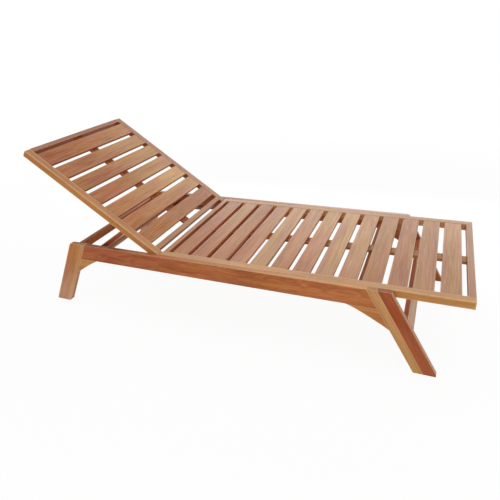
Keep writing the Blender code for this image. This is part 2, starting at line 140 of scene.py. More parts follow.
# %% [markdown]
# ## Studio light
# A product photograph is lit by large soft boxes in a white room. The room is the world: plain ambient
# light for the wood, and a white wall under a dim ceiling where the camera or a reflection looks past the
# lounger. One soft box hangs overhead. A second stands low behind the lounger, where oiled wood mirrors
# it at a low angle: it lays the pale veil that grows towards the far end of every slat. A third, in front,
# lights the near rail and legs, and a weak fourth the foot end. Small lamps would be simpler to place, but
# their shadows are hard, and a catalogue picture has almost none.

# %% Light the room
ROOM_LIGHT = 0.42
WALL_LIGHT = 1.0
CEILING_LIGHT = 0.1
WALL_TOP = math.sin(math.radians(6))
CEILING_START = math.sin(math.radians(40))

world = bpy.data.worlds.new("white_room")
bpy.context.scene.world = world
world.use_nodes = True
room = world.node_tree
room.nodes.clear()
rays = add_node(room, "ShaderNodeLightPath", {}).outputs
looking = add_node(room, "ShaderNodeTexCoord", {}).outputs["Generated"]
height = add_node(room, "ShaderNodeSeparateXYZ", {"Vector": looking}).outputs["Z"]
wall = add_node(room, "ShaderNodeMapRange", {
    "Value": height, "From Min": WALL_TOP, "From Max": CEILING_START, "To Min": WALL_LIGHT,
    "To Max": CEILING_LIGHT}).outputs[0]
unseen = add_node(room, "ShaderNodeMix", {
    FACTOR: rays["Is Glossy Ray"], NUMBER_A: ROOM_LIGHT, NUMBER_B: wall}).outputs[NUMBER_OUT]
brightness = add_node(room, "ShaderNodeMix", {
    FACTOR: rays["Is Camera Ray"], NUMBER_A: unseen, NUMBER_B: WALL_LIGHT}).outputs[NUMBER_OUT]
background = add_node(room, "ShaderNodeBackground", {"Color": WHITE, "Strength": brightness}).outputs[0]
add_node(room, "ShaderNodeOutputWorld", {"Surface": background})
print("room light", ROOM_LIGHT, "under a ceiling of", CEILING_LIGHT)

# %% Hang the soft boxes
# Place in metres, how far tipped and turned in degrees, width and depth in metres, power in watts
SOFT_BOXES = {
    "soft_box_overhead": ((0.2, 0.0, 3.0), (0, 0), (4.0, 3.0), 40.0),
    "soft_box_behind": ((-0.1, 1.6, 0.98), (-90, 0), (4.4, 1.15), 32.0),
    "soft_box_front": ((0.0, -3.2, 1.3), (90, 0), (6.0, 2.0), 50.0),
    "soft_box_foot": ((3.2, 0.0, 1.0), (85, 90), (2.4, 1.6), 12.0),
}
for name, (place, (tipped, turned), (width, depth), power) in SOFT_BOXES.items():
    lamp = bpy.data.objects.new(name, bpy.data.lights.new(name, "AREA"))
    lamp.data.shape = "RECTANGLE"
    lamp.data.size = width
    lamp.data.size_y = depth
    lamp.data.energy = power
    lamp.location = place
    lamp.rotation_euler = (math.radians(tipped), 0, math.radians(turned))
    lamp.visible_camera = False
    bpy.context.collection.objects.link(lamp)
    print(name, "of", power, "W")

# %% [markdown]
# ## The floor
# The lounger stands on a white sweep that the camera sees as white paper with only a breath of shadow.
# A shadow catcher would need compositing, so the paper is part matt white, which takes the shadow, and
# part glow, which only the camera sees. Nothing else sees the glow, so it lights and mirrors nothing.

# %% Make the paper
PAPER_GLOW = 0.93
ALL_GLOW = (1.6, 3.2)           # in metres from the middle: from here to there the glow grows to its full
PAPER_MOTTLE = 0.025            # in metres, far coarser than real fibres, which are too fine to show
PAPER_TINTS = ("#f2f2f2", "#fafafa")

# Matt white paper: an even white that shines nowhere
paper = new_finish("matt_white_paper")
rays = add_node(paper.node_tree, "ShaderNodeLightPath", {}).outputs
spot = add_node(paper.node_tree, "ShaderNodeTexCoord", {}).outputs["Object"]
away = add_node(paper.node_tree, "ShaderNodeVectorMath", {0: spot}, operation="LENGTH").outputs["Value"]
growing = add_node(paper.node_tree, "ShaderNodeMapRange", {
    "Value": away, "From Min": ALL_GLOW[0], "From Max": ALL_GLOW[1], "To Min": PAPER_GLOW}).outputs[0]
glow = add_node(paper.node_tree, "ShaderNodeMath", {
    0: rays["Is Camera Ray"], 1: growing}, operation="MULTIPLY").outputs[0]
mottle = add_node(paper.node_tree, "ShaderNodeTexNoise", {
    "Vector": spot, "Scale": 1 / PAPER_MOTTLE, "Detail": 2.0}).outputs[0]
tint = add_node(paper.node_tree, "ShaderNodeMix", {
    FACTOR: mottle, COLOUR_A: linear(PAPER_TINTS[0]), COLOUR_B: linear(PAPER_TINTS[1])},
    data_type="RGBA").outputs[COLOUR_OUT]
matt = add_node(paper.node_tree, "ShaderNodeBsdfDiffuse", {"Color": tint}).outputs[0]
white = add_node(paper.node_tree, "ShaderNodeEmission", {"Color": WHITE}).outputs[0]
lit_paper = add_node(paper.node_tree, "ShaderNodeMixShader", {0: glow, 1: matt, 2: white}).outputs[0]
add_node(paper.node_tree, "ShaderNodeOutputMaterial", {"Surface": lit_paper})
print("paper glows by", PAPER_GLOW, "round the feet")

# %% Lay the floor
FLOOR_SIZE = 30.0
FLOOR_DROP = 0.0005

sheet = bmesh.new()
bmesh.ops.create_grid(sheet, x_segments=1, y_segments=1, size=FLOOR_SIZE / 2)
bmesh.ops.translate(sheet, verts=sheet.verts, vec=(0, 0, -FLOOR_DROP))
floor = bpy.data.objects.new("floor", bpy.data.meshes.new("floor"))
sheet.to_mesh(floor.data)
sheet.free()
floor.data.materials.append(paper)
bpy.context.collection.objects.link(floor)
print("floor of", FLOOR_SIZE, "m, just below the feet")

# %% [markdown]
# ## How each board was sawn
# A sawyer cuts boards along the log, so the grain of a board runs along its longest edge and its rings
# lie under its widest face. Both could be written down for every board, but they can also be read from
# its own mesh: its flat triangles are joined back into whole faces, and then the longest edge and the
# widest face along it give the three axes.

# %% Read a board's axes
WELD = 0.00001
FLAT = math.radians(1.0)
ALONG_THE_BOARD = 0.1           # a face whose normal leans less than this to the grain runs along the board


def whole_faces(node_name):
    """A bmesh copy of a piece, with its triangles welded and joined into flat faces."""
    mesh = bmesh.new()
    mesh.from_mesh(boards[node_name].data)
    bmesh.ops.remove_doubles(mesh, verts=mesh.verts, dist=WELD)
    bmesh.ops.dissolve_limit(mesh, angle_limit=FLAT, verts=mesh.verts, edges=mesh.edges)
    return mesh


def sawn_axes(node_name):
    """A turn whose X runs along the grain, Y across the board and Z out of its widest face."""
    mesh = whole_faces(node_name)
    start, end = max(mesh.edges, key=lambda edge: edge.calc_length()).verts
    along = (end.co - start.co).normalized()
    along *= math.copysign(1.0, max(along, key=abs))
    sides = [face for face in mesh.faces if abs(face.normal.dot(along)) < ALONG_THE_BOARD]
    out = max(sides, key=lambda face: face.calc_area()).normal.copy()
    across = out.cross(along).normalized()
    out = along.cross(across)
    mesh.free()
    return Matrix((along, across, out)).transposed()


axes = {name: sawn_axes(name) for name in boards}
middles = {name: sum(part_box(name), Vector()) / 2 for name in boards}
lengths = {name: (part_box(name)[1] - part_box(name)[0]).length for name in boards}
print("front leg grain runs along", [round(x, 2) for x in axes["front_leg_right"].col[0]])

# %% [markdown]
# ## Teak: sawn, planed, sanded and oiled
# Teak is golden to red-brown, with darker bands of late wood, long soft streaks of oil and mineral, and
# short open pores. Oil leaves it satin: it shines a little when seen at a low angle. A picture of wood
# could be wrapped on the boards, but its figure would stop at every corner. Rings round a distant pith
# line, cut by the board, give arches on faces, stripes on edges and arcs on end grain, all in step.

# %% Tones of teak: light wood and late wood
TONES = {
    "straw": ("#be9560", "#a98150"),
    "honey": ("#b1834b", "#9c713f"),
    "blush": ("#ba7f4c", "#a56e40"),
    "rose": ("#a67039", "#93602f"),
    "amber": ("#c69651", "#ae8143"),
    "gold": ("#cca76c", "#b5905b"),
    "russet": ("#bb7945", "#9f6235"),
    "chestnut": ("#a6572a", "#944a23"),
    "brick": ("#a66738", "#93572e"),
    "tan": ("#c38846", "#ac753a"),
    "sand": ("#cfa88d", "#b79277"),
    "umber": ("#a46c3c", "#8a562d"),
    "coral": ("#f0a878", "#e09868"),
    "auburn": ("#ac633b", "#975631"),
    "copper": ("#c37f4d", "#ab6e3f"),
    "sienna": ("#996030", "#86522a"),
    "apricot": ("#ae7839", "#9b6830"),
    "ochre": ("#be863f", "#a67335"),
    "bone": ("#d6be98", "#c3a880"),
    "barley": ("#bd8b54", "#a67948"),
    "almond": ("#b17744", "#9c6738"),
}
print("teak in", len(TONES), "tones")

# %% Tints laid over the tones
GOLDEN_TINT = "#fffecb"
ROSY_TINT = "#ffd9f4"
LATE_WOOD_TINT = "#bb8a64"
PORE_TINT = "#8a5a38"
END_GRAIN_TINT = "#dcc2a4"
# painted shade in the joints, where boards meet the shoulders of their tenons
JOINT_SHADE_TINT = "#7a4a34"
PALE_LINE_AND_PAINTED_VEIL_TINT = "#cbbcad"         # the painted pale veil of reflected light on upper faces, and the colour of fine pale lines in the grain
GOLDEN_PALE_LINE_AND_PAINTED_VEIL_TINT = "#d8ad7c"          # the same painted veil and pale lines, on wood that is still golden
PAINTED_EDGE_HIGHLIGHT_TINT = "#d9b28a"         # a painted highlight along edges that were sanded round
BRIGHT_EDGE_HIGHLIGHT_TINT = "#efcfa4"       # a paler painted highlight, for the edges of the near stiles
RED_BOUNCE_LIGHT_TINT = "#d97d60"          # painted light on sheltered sides: red light bounced up from the boards close below them
DEEP_TINT = "#8c4628"           # sheltered sides that hardly any light reaches
PALE_TINT = "#dba070"           # sheltered sides that still face the front light
# Printed: the tint of the painted pale veil on upper faces, and that of the painted deep shade
print("silvered wood is", PALE_LINE_AND_PAINTED_VEIL_TINT, "and sheltered wood", DEEP_TINT)

# %% Habits of a plain board, any of which a board may change
PLAIN_HABIT = {
    "figure": 1.0,                      # strength of its streaks and rings
    "cloud": 0.36,                      # strength of its broad dark clouds
    "hue": 0.4,                         # how far it strays to golden and to rosy
    "bleach": 0.08,                     # strength of its fine pale lines
    "wild": 0.003,                      # how far its grain wanders, in metres
    "shoulder": 1.0,                    # metres from its middle to the glued shoulders of its tenons
    "silver": (0.2, 0.2),               # how strong the painted pale veil on its upper face is, at either end
    "silver_tint": PALE_LINE_AND_PAINTED_VEIL_TINT,
    "painted_shade": 0.0,                   # how much painted shade its sides and underside have
    "painted_shade_tint": RED_BOUNCE_LIGHT_TINT,
    "edge_highlight_width": 0.003,              # width of the painted highlight along its rounded edges, in metres
    "edge_highlight_tint": PAINTED_EDGE_HIGHLIGHT_TINT,
    "shine": 0.22,                      # sanded wood is matt between its films of oil, so it shines less
}
print("a plain board has", len(PLAIN_HABIT), "habits")

# %% [markdown]
# ## The log
# Each board came from its own place in its own log, so the pith lies at some depth below it and the log
# tapers a little. One log could serve all boards, but then neighbours would share their figure. Here the
# place is drawn by lot, and the name of the finish is the seed, so a board keeps its figure in every run.

# %% Draw a board's place in its log
PITH_ALONG = 9.0
PITH_ASIDE = 0.045
PITH_DEPTH = (0.035, 0.090)
LOG_TAPER = math.radians(1.6)


def place_in_log(name, turn, middle):
    """Where the pith runs and how the log is turned, drawn by lot for this name."""
    lot = random.Random(name)
    taper = Euler((0, lot.uniform(-LOG_TAPER, LOG_TAPER), lot.uniform(-LOG_TAPER, LOG_TAPER)))
    log_turn = turn @ taper.to_matrix()
    along = lot.uniform(-PITH_ALONG, PITH_ALONG)
    aside = lot.uniform(-PITH_ASIDE, PITH_ASIDE)
    depth = lot.uniform(*PITH_DEPTH)
    pith = Vector((along, aside, -depth))
    return {"Location": middle + log_turn @ pith, "Rotation": log_turn.to_euler()}


print("pith lies", PITH_DEPTH[0], "to", PITH_DEPTH[1], "m below the middle of a board")

# %% Grow the patterns of the log
RING_SPACING = 0.0085
WAVE_PERIOD = 2 * math.pi / 20  # the wave texture turns 20 radians for each unit of radius
# In metres, along the log and across it. Real pores are 0.3 mm wide, too fine to show: drawn coarser.
PATTERN_SIZES = {
    "rings": (0.45, RING_SPACING / WAVE_PERIOD),
    "streaks": (0.30, 0.0065),
    "clouds": (0.26, 0.034),
    "hues": (0.24, 0.030),
    "pores": (0.026, 0.0017),
    "pale_lines": (0.09, 0.0040),
}
BEND_SIZE = (0.16, 0.05, 0.05)
NOISE_MIDDLE = (0.5, 0.5, 0.5)
RING_WAVE = {"Scale": 1.0, "Distortion": 5.0, "Detail": 2.0, "Detail Scale": 0.7}
NOISES = {
    "streaks": {"Scale": 1.0, "Detail": 4.0, "Roughness": 0.62},
    "clouds": {"Scale": 1.0, "Detail": 1.0},
    "hues": {"Scale": 1.0, "Detail": 1.0},
    "pores": {"Scale": 1.0, "Detail": 2.0},
    "pale_lines": {"Scale": 1.0, "Detail": 3.0, "Roughness": 0.6},
}


def grown_patterns(tree, spot, place, wild):
    """The patterns of a log that lies in this place, by name. Its grain wanders this far."""
    bends = add_node(tree, "ShaderNodeMapping", {
        "Vector": spot, "Scale": BEND_SIZE, **place}, vector_type="TEXTURE").outputs[0]
    bend = add_node(tree, "ShaderNodeTexNoise", {
        "Vector": bends, "Scale": 1.0, "Detail": 1.0}).outputs["Color"]
    wander = add_node(tree, "ShaderNodeVectorMath", {
        0: bend, 1: NOISE_MIDDLE}, operation="SUBTRACT").outputs[0]
    wandered = add_node(tree, "ShaderNodeVectorMath", {
        0: wander, 1: (wild, wild, wild), 2: spot}, operation="MULTIPLY_ADD").outputs[0]
    patterns = {}
    for pattern, (long, wide) in PATTERN_SIZES.items():
        in_log = add_node(tree, "ShaderNodeMapping", {
            "Vector": wandered, "Scale": (long, wide, wide), **place}, vector_type="TEXTURE").outputs[0]
        if pattern == "rings":
            texture = add_node(tree, "ShaderNodeTexWave", {"Vector": in_log, **RING_WAVE},
                               wave_type="RINGS", rings_direction="X", wave_profile="SAW")
        else:
            texture = add_node(tree, "ShaderNodeTexNoise", {"Vector": in_log, **NOISES[pattern]})
        patterns[pattern] = texture.outputs["Fac"]
    return patterns


print("patterns of the log:", ", ".join(PATTERN_SIZES))

# %% Show the patterns as strongly as a board's habit says
# Each pattern starts to show at the first of these values and shows in full at the second.
SHOWS = {
    "rings": (0.25, 1.00),
    "streaks": (0.34, 0.66),
    "clouds": (0.35, 0.70),
    "hues": (0.36, 0.64),
    "pores": (0.58, 0.72),
    "pale_lines": (0.42, 0.70),
}
LATE_WOOD_SHARE = 0.15


def shown_patterns(tree, patterns, habit):
    """How much of each pattern shows on a board with this habit."""
    strengths = {
        "rings": (0.0, LATE_WOOD_SHARE * habit["figure"]),
        "streaks": (0.0, habit["figure"]),
        "clouds": (0.0, habit["cloud"]),
        "hues": (0.5 - habit["hue"] / 2, 0.5 + habit["hue"] / 2),
        "pores": (0.0, 1.0),
        "pale_lines": (0.0, habit["bleach"]),
    }
    shown = {}
    for pattern, (start, full) in SHOWS.items():
        least, most = strengths[pattern]
        shown[pattern] = add_node(tree, "ShaderNodeMapRange", {
            "Value": patterns[pattern], "From Min": start, "From Max": full,
            "To Min": least, "To Max": most}).outputs[0]
    return shown


print("late wood darkens a plain board by up to", LATE_WOOD_SHARE)

# %% [markdown]
# ## Layers of colour
# Growth and the saw changed the colour of the wood, and the rest is painted light: painted shade in the
# joints and on sides and undersides, a painted pale veil on upper faces, and painted highlights along
# edges. Each mark could be painted on by hand, but all of them follow the shape of a board: end grain looks
# along it, the veil looks up, and the highlights lie along its edges. So each is a layer that is worked out
# where the wood is seen: how much of it there is, its colour, and whether it covers the layers below or
# darkens them.

# %% Layers that grew
PORE_SHARE = 0.18


def growth_layers(tree, shown, pale):
    """Hues, clouds, late wood, pores and pale lines of this colour."""
    hue = add_node(tree, "ShaderNodeMix", {
        FACTOR: shown["hues"], COLOUR_A: linear(GOLDEN_TINT), COLOUR_B: linear(ROSY_TINT)},
        data_type="RGBA").outputs[COLOUR_OUT]
    pore_shade = add_node(tree, "ShaderNodeMath", {
        0: shown["pores"], 1: PORE_SHARE}, operation="MULTIPLY").outputs[0]
    return [
        (1.0, hue, "MULTIPLY"),
        (shown["clouds"], linear(LATE_WOOD_TINT), "MULTIPLY"),
        (shown["rings"], linear(LATE_WOOD_TINT), "MULTIPLY"),
        (pore_shade, linear(PORE_TINT), "MULTIPLY"),
        (shown["pale_lines"], linear(pale), "MIX"),
    ]


print("open pores darken the wood by up to", PORE_SHARE)

# %% Layers of the saw, and painted shade in the joints
END_GRAIN_FACING = (0.6, 0.95)
JOINT_SHADE_WIDTH = 0.003
JOINT_SHADE_SHARE = 0.7


def saw_layers(tree, normal, along, node_name, shoulder):
    """End grain, and painted shade in the joints at the shoulders of the tenons."""
    grain, length = axes[node_name].col[0], lengths[node_name]
    facing = add_node(tree, "ShaderNodeVectorMath", {
        0: normal, 1: grain}, operation="DOT_PRODUCT").outputs["Value"]
    endwards = add_node(tree, "ShaderNodeMath", {0: facing}, operation="ABSOLUTE").outputs[0]
    end_grain = add_node(tree, "ShaderNodeMapRange", {
        "Value": endwards, "From Min": END_GRAIN_FACING[0], "From Max": END_GRAIN_FACING[1]}).outputs[0]
    from_middle = add_node(tree, "ShaderNodeMath", {0: along}, operation="ABSOLUTE").outputs[0]
    # Painted shade: a dark line across the board where it meets the shoulder of a tenon
    joint_shade = add_node(tree, "ShaderNodeMapRange", {
        "Value": from_middle, "From Min": (shoulder - JOINT_SHADE_WIDTH) / length,
        "From Max": (shoulder - JOINT_SHADE_WIDTH / 2) / length, "To Max": JOINT_SHADE_SHARE}).outputs[0]
    return [(end_grain, linear(END_GRAIN_TINT), "MULTIPLY"), (joint_shade, linear(JOINT_SHADE_TINT), "MULTIPLY")]


# The painted shade in the joints is this wide
print("glue lines are", JOINT_SHADE_WIDTH, "m wide")

# %% Layers of painted light: shade, a pale veil and edge highlights
# A face is sheltered, with painted shade in full, if it looks up less than the first of these, and not at
# all past the second.
PAINTED_SHADE_FACING = (0.1, 0.5)
PAINTED_VEIL_FACING = (0.2, 0.8)
EDGE_HIGHLIGHT_SAMENESS = (0.985, 0.90)
EDGE_HIGHLIGHT_SHARE = 0.65
EDGE_SAMPLES = 4


def weather_layers(tree, skyward, to_end, habit):
    """Painted shade on sheltered sides, a painted pale veil on upper faces, and painted highlights along
    rounded edges.
    """
    # Painted shade on faces that look up little
    painted_shade_share = add_node(tree, "ShaderNodeMapRange", {
        "Value": skyward, "From Min": PAINTED_SHADE_FACING[1], "From Max": PAINTED_SHADE_FACING[0],
        "To Max": habit["painted_shade"]}).outputs[0]
    silvering = add_node(tree, "ShaderNodeMapRange", {
        "Value": to_end, "To Min": habit["silver"][0], "To Max": habit["silver"][1]}).outputs[0]
    # Painted veil: a pale reflection laid on faces that look up
    silvered = add_node(tree, "ShaderNodeMapRange", {
        "Value": skyward, "From Min": PAINTED_VEIL_FACING[0], "From Max": PAINTED_VEIL_FACING[1],
        "To Max": silvering}).outputs[0]
    flat = add_node(tree, "ShaderNodeNewGeometry", {}).outputs["Normal"]
    rounded = add_node(tree, "ShaderNodeBevel", {
        "Radius": habit["edge_highlight_width"]}, samples=EDGE_SAMPLES).outputs[0]
    sameness = add_node(tree, "ShaderNodeVectorMath", {
        0: flat, 1: rounded}, operation="DOT_PRODUCT").outputs["Value"]
    # Painted highlight along rounded edges, where the rounded normal leaves the flat one
    highlighted = add_node(tree, "ShaderNodeMapRange", {
        "Value": sameness, "From Min": EDGE_HIGHLIGHT_SAMENESS[0], "From Max": EDGE_HIGHLIGHT_SAMENESS[1],
        "To Max": EDGE_HIGHLIGHT_SHARE}).outputs[0]
    return [
        (painted_shade_share, linear(habit["painted_shade_tint"]), "MIX"),
        (silvered, linear(habit["silver_tint"]), "MIX"),
        (highlighted, linear(habit["edge_highlight_tint"]), "MIX"),
    ]


print("rubbed edges are", PLAIN_HABIT["edge_highlight_width"], "m wide on a plain board")

# %% [markdown]
# ## The film of oil
# Oil soaks in and leaves a thin satin film, a little duller in dark streaks and dull in open pores. A
# clear coat over the wood would look varnished, so the film is the shine of the wood itself. Sheltered
# sides get less oil and shine less. Pores and rings are a bump, because they are far finer than the mesh.

# %% Oil the wood
TEAK_IOR = 1.5
STREAK_SPAN = (0.3, 0.7)
SATIN = (0.34, 0.44)
PORE_ROUGHNESS = 0.2
PORE_DEPTH = 0.0002
RELIEF = 0.3


def oil_film(tree, colour, patterns, open_pores, skyward, habit):
    """Oiled wood of this colour."""
    satin = add_node(tree, "ShaderNodeMapRange", {
        "Value": patterns["streaks"], "From Min": STREAK_SPAN[0], "From Max": STREAK_SPAN[1],
        "To Min": SATIN[0], "To Max": SATIN[1]}).outputs[0]
    roughness = add_node(tree, "ShaderNodeMath", {
        0: open_pores, 1: PORE_ROUGHNESS, 2: satin}, operation="MULTIPLY_ADD").outputs[0]
    relief = add_node(tree, "ShaderNodeMath", {
        0: open_pores, 1: -1.0, 2: patterns["rings"]}, operation="MULTIPLY_ADD").outputs[0]
    bump = add_node(tree, "ShaderNodeBump", {
        "Height": relief, "Strength": RELIEF, "Distance": PORE_DEPTH}).outputs[0]
    gleam = add_node(tree, "ShaderNodeMapRange", {
        "Value": skyward, "From Min": PAINTED_SHADE_FACING[0], "From Max": PAINTED_SHADE_FACING[1],
        "To Min": habit["shine"] * (1 - habit["painted_shade"]), "To Max": habit["shine"]}).outputs[0]
    return add_node(tree, "ShaderNodeBsdfPrincipled", {
        "Base Color": colour, "Roughness": roughness, "Normal": bump, "IOR": TEAK_IOR,
        "Specular IOR Level": gleam}).outputs[0]


print("oiled teak has a roughness of", SATIN[0], "to", SATIN[1])

# %% One finish for one board
# One tone turns into the other over this share of the length, either side of the middle.
TONE_TURN = 0.4


def teak(name, node_name, tones, **changes):
    """Oiled teak for one board: warm wood under a satin film. Its first tone is that of its rear, right
    or lower end, and its last that of its other end. Its habits are plain but for these changes."""
    habit = {**PLAIN_HABIT, **changes}
    turn, middle = axes[node_name], middles[node_name]
    material = new_finish(name)
    tree = material.node_tree
    coords = add_node(tree, "ShaderNodeTexCoord", {}).outputs
    in_board = add_node(tree, "ShaderNodeMapping", {
        "Vector": coords["Object"], "Location": middle, "Rotation": turn.to_euler(),
        "Scale": (lengths[node_name], 1, 1)}, vector_type="TEXTURE").outputs[0]
    along = add_node(tree, "ShaderNodeSeparateXYZ", {"Vector": in_board}).outputs["X"]
    to_end = add_node(tree, "ShaderNodeMapRange", {
        "Value": along, "From Min": -TONE_TURN, "From Max": TONE_TURN},
        interpolation_type="SMOOTHSTEP").outputs[0]
    skyward = add_node(tree, "ShaderNodeSeparateXYZ", {"Vector": coords["Normal"]}).outputs["Z"]

    patterns = grown_patterns(tree, coords["Object"], place_in_log(name, turn, middle), habit["wild"])
    shown = shown_patterns(tree, patterns, habit)
    light, late = (add_node(tree, "ShaderNodeMix", {
        FACTOR: to_end, COLOUR_A: linear(first), COLOUR_B: linear(last)},
        data_type="RGBA").outputs[COLOUR_OUT] for first, last in zip(TONES[tones[0]], TONES[tones[-1]]))
    layers = [(shown["streaks"], late, "MIX")]
    layers += growth_layers(tree, shown, habit["silver_tint"])
    layers += saw_layers(tree, coords["Normal"], along, node_name, habit["shoulder"])
    layers += weather_layers(tree, skyward, to_end, habit)
    colour = light
    for share, tint, blend in layers:
        colour = add_node(tree, "ShaderNodeMix", {
            FACTOR: share, COLOUR_A: colour, COLOUR_B: tint}, data_type="RGBA",
            blend_type=blend).outputs[COLOUR_OUT]
    oiled = oil_film(tree, colour, patterns, shown["pores"], skyward, habit)
    add_node(tree, "ShaderNodeOutputMaterial", {"Surface": oiled})
    return material


def finish_boards(pieces):
    """Gives pieces of the construction model a teak of their own, each with its tones and its habit."""
    for node_name, (tones, habit) in pieces.items():
        wood = teak("oiled_teak_" + node_name, node_name, tones, **habit)
        for holder in boards[node_name].material_slots:
            holder.material = wood
    print("finished", len(pieces), "boards")


print("teak is ready for", len(boards), "pieces")

# %% [markdown]
# ## The slats
# Thirteen slats make the seat and seven the backrest, all tenoned into their stiles. They come from
# different boards, so some are rosy and some golden. One shared finish would make a fence of copies, and
# tones drawn by lot would put them anywhere, so each slat is laid out one by one, as a maker lays out
# boards.
# The sides of the slats show in the gaps, with painted shade: dark over the floor, and a painted red bounce
# light over the boards at the hinge.

# %% Lay out the slats
SEAT_TONES = (
    ("honey", "straw"), ("honey",), ("apricot",), ("apricot", "honey"), ("straw",), ("straw",),
    ("blush", "straw"), ("blush", "straw"), ("straw",), ("blush", "honey"), ("blush", "rose"),
    ("blush", "honey"), ("blush", "rose"))
BACK_TONES = (
    ("blush", "rose"), ("blush", "straw"), ("barley", "gold"), ("almond", "straw"), ("almond", "straw"),
    ("almond", "straw"), ("brick", "barley"))
SEAT_HABIT = {
    "hue": 0.55, "bleach": 0.18, "silver": (0.06, 0.07), "painted_shade": 0.5,
    "shoulder": -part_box("seat_stile_right")[1].y}
BACK_HABIT = {
    "hue": 0.65, "bleach": 0.22, "silver": (0.02, 0.09), "painted_shade": 0.85, "painted_shade_tint": DEEP_TINT,
    "shoulder": -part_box("back_stile_right")[1].y}
FIRST_HINGE_SLAT = 10

slats = {}
for number, tones in enumerate(SEAT_TONES, 1):
    # Painted light on the slat sides: red bounce light over the hinge boards, deep shade elsewhere
    shade = RED_BOUNCE_LIGHT_TINT if number >= FIRST_HINGE_SLAT else DEEP_TINT
    slats[f"seat_slat_{number:02d}"] = (tones, {**SEAT_HABIT, "painted_shade_tint": shade})
for number, tones in enumerate(BACK_TONES, 1):
    slats[f"back_slat_{number}"] = (tones, BACK_HABIT)
finish_boards(slats)

# %% [markdown]
# ## The panel frames
# Stiles and end rails frame both panels, and a batten under the slats keeps each panel from sagging. They
# could be as mixed as the slats, but a maker picks straight, quiet boards for a frame. The near stiles are
# the most golden wood on the lounger, with a wider and paler painted highlight along their edges.

# %% Finish the panel frames
# Painted shade on sides and undersides; on the far stiles it is paler, as they still face the front light
SEAT_RAIL_HABIT = {"figure": 0.8, "painted_shade": 0.22}
BACK_FRAME_HABIT = {"figure": 0.8, "painted_shade": 0.6, "painted_shade_tint": DEEP_TINT}
FAR_STILE_HABIT = {"figure": 0.8, "painted_shade": 0.6, "painted_shade_tint": PALE_TINT}
# The near stiles get a wider, paler painted highlight along their edges
NEAR_STILE_HABIT = {
    "figure": 0.8, "silver": (0.15, 0.15), "edge_highlight_width": 0.007, "edge_highlight_tint": BRIGHT_EDGE_HIGHLIGHT_TINT}
BATTEN_HABIT = {"silver": (0, 0), "shine": 0.1}

finish_boards({
    "seat_foot_rail": (("rose",), SEAT_RAIL_HABIT),
    "seat_hinge_rail": (("rose",), SEAT_RAIL_HABIT),
    "seat_stile_left": (("honey",), FAR_STILE_HABIT),
    "seat_stile_right": (("amber",), NEAR_STILE_HABIT),
    "seat_batten": (("auburn", "straw"), BATTEN_HABIT),
    "back_top_rail": (("sienna",), BACK_FRAME_HABIT),
    "back_bottom_rail": (("rose",), BACK_FRAME_HABIT),
    "back_stile_left": (("umber",), BACK_FRAME_HABIT),
    "back_stile_right": (("ochre",), NEAR_STILE_HABIT),
    "back_batten": (("auburn",), BATTEN_HABIT),
})

# %% [markdown]
# ## The base
# Side rails, gussets and cross pieces carry the panels. The rails are wide red-brown boards with bold
# figure. The pieces between them could be as bold, but they are seldom seen, so a maker uses plainer wood
# there. Those deep under the seat hardly shine, like wood that is seldom oiled.

# %% Finish the base
# Rails get a painted pale veil on top, from none at the rear end to half strength at the front
RAIL_HABIT = {
    "figure": 1.2, "cloud": 0.6, "bleach": 0.16, "wild": 0.04, "silver": (0.0, 0.5), "shine": 0.13}
NEAR_RAIL_HABIT = {**RAIL_HABIT, "silver_tint": GOLDEN_PALE_LINE_AND_PAINTED_VEIL_TINT}
SMALL_PIECE_HABIT = {"silver": (0.1, 0.1)}
HIDDEN_HABIT = {"silver": (0, 0), "shine": 0.06}

finish_boards({
    "side_rail_right": (("auburn", "copper"), NEAR_RAIL_HABIT),
    "side_rail_left": (("auburn", "copper"), RAIL_HABIT),
    "notched_rack_right": (("umber",), {}),
    "notched_rack_left": (("umber",), {}),
    "front_gusset_right": (("tan",), SMALL_PIECE_HABIT),
    "front_gusset_left": (("russet",), SMALL_PIECE_HABIT),
    "rear_gusset_right": (("amber",), SMALL_PIECE_HABIT),
    "rear_gusset_left": (("russet",), SMALL_PIECE_HABIT),
    "hinge_board_1": (("coral",), SMALL_PIECE_HABIT),
    "hinge_board_2": (("coral",), SMALL_PIECE_HABIT),
    "hinge_board_3": (("coral",), SMALL_PIECE_HABIT),
    "rear_cross_rail": (("russet",), HIDDEN_HABIT),
    "front_bearer": (("russet",), HIDDEN_HABIT),
})

# %% [markdown]
# ## The legs and the front stretcher
# Each front leg is glued up from two staves of unlike colour, with a fine groove where the joint was eased.
# On the rear legs the strip along the inner side is cut and grooved the same way, but its paler tone is a
# painted highlight along a rounded edge. The faces that look towards the foot end, on legs and stretcher,
# get a tone of their own for how light falls there: painted light. The colours could change by coordinate
# in one finish, but a cut in the mesh gives each stave its own log and a groove that catches light. Three
# cuts mark the groove, and its middle line is pressed in.

# %% Cut a glued joint
GROOVE = 0.0004


def press_joint(mesh, joint, inwards):
    """Cuts a board at a glued joint, and presses a fine groove in there."""
    for step in (-GROOVE, 0, GROOVE):
        bmesh.ops.bisect_plane(mesh, geom=mesh.verts[:] + mesh.edges[:] + mesh.faces[:], dist=WELD,
                               plane_co=joint + inwards * step, plane_no=inwards)
    mesh.normal_update()
    for vertex in mesh.verts:
        if abs((vertex.co - joint).dot(inwards)) < WELD:
            vertex.co -= vertex.normal * GROOVE


print("grooves are", GROOVE, "m deep")

# %% Glue up a board
FOOT_FACING_FOR_PAINTED_LIGHT = 0.75                # a face whose normal points this far to the foot end gets the tone painted for the light on that side


